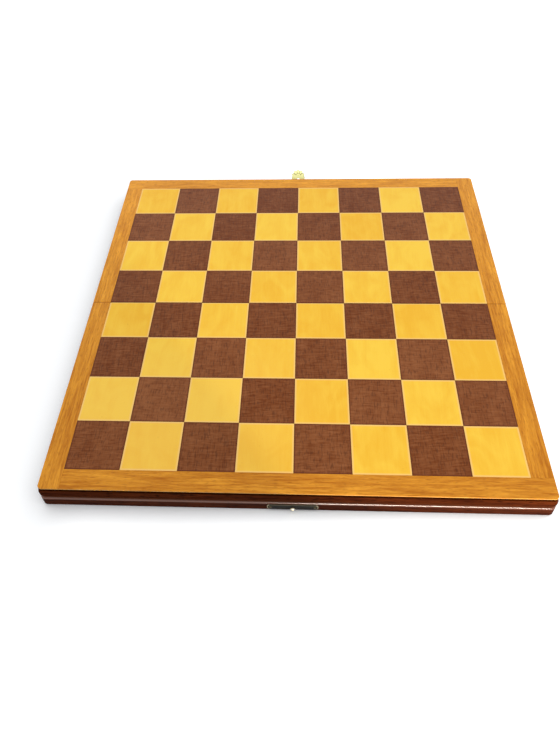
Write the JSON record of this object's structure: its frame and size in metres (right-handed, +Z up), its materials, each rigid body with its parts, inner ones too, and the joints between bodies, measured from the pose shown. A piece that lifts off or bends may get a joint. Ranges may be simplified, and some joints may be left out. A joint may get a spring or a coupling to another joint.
{
  "type": "folding chess and checkers board box",
  "caption": "Folding wooden board for chess and checkers with veneered squares, moulded rails, hinged fold and a brass hasp; closes into a felt-lined box for the men.",
  "frame": {"origin": "middle of the fold line, in the plane of the rims on which the open board stands", "axes": "+X to the right along the fold, +Y away from the near player towards the hasp, +Z up out of the squares"},
  "size_m": [0.3016, 0.3149, 0.0204],
  "materials": {
    "dark_veneer": "lacquered",
    "light_veneer": "lacquered",
    "border_veneer": "lacquered",
    "stained_board": "stained edge",
    "lacquered_rail": "gloss lacquer",
    "felt": "wool felt",
    "hinge_brass": "satin",
    "bright_brass": "polished",
    "aged_brass": "aged"
  },
  "bodies": {
    "near_half": {"near_panel": "stained_board", "near_dark_squares": "dark_veneer", "near_light_squares": "light_veneer", "near_border_front": "border_veneer", "near_border_left": "border_veneer", "near_border_right": "border_veneer", "near_front_rail": "lacquered_rail", "near_left_rail": "lacquered_rail", "near_right_rail": "lacquered_rail", "near_fold_rail": "lacquered_rail", "near_felt_lining": "felt", "left_hinge_near_leaf": "hinge_brass", "right_hinge_near_leaf": "hinge_brass", "left_hinge_pin": "hinge_brass", "right_hinge_pin": "hinge_brass", "near_hinge_screws": "hinge_brass", "catch_plate": "aged_brass", "catch_knob": "aged_brass", "catch_nails": "aged_brass"},
    "far_half": {"far_panel": "stained_board", "far_dark_squares": "dark_veneer", "far_light_squares": "light_veneer", "far_border_back": "border_veneer", "far_border_left": "border_veneer", "far_border_right": "border_veneer", "far_back_rail": "lacquered_rail", "far_left_rail": "lacquered_rail", "far_right_rail": "lacquered_rail", "far_fold_rail": "lacquered_rail", "far_felt_lining": "felt", "left_hinge_far_leaf": "hinge_brass", "right_hinge_far_leaf": "hinge_brass", "far_hinge_screws": "hinge_brass", "hasp_plate": "aged_brass", "hasp_nails": "aged_brass", "hasp_pin": "aged_brass"},
    "hasp": {"hasp_flap": "bright_brass"}
  },
  "joints": [
    {"name": "fold", "type": "hinge", "parent": "near_half", "child": "far_half", "pos_m": [0, 0, -0.0001], "axis": [1, 0, 0], "range_deg": [-180, 0]},
    {"name": "hasp_swing", "type": "hinge", "parent": "far_half", "child": "hasp", "pos_m": [0, 0.15155, 0.0043], "axis": [-1, 0, 0], "range_deg": [-34, 146]}
  ]
}
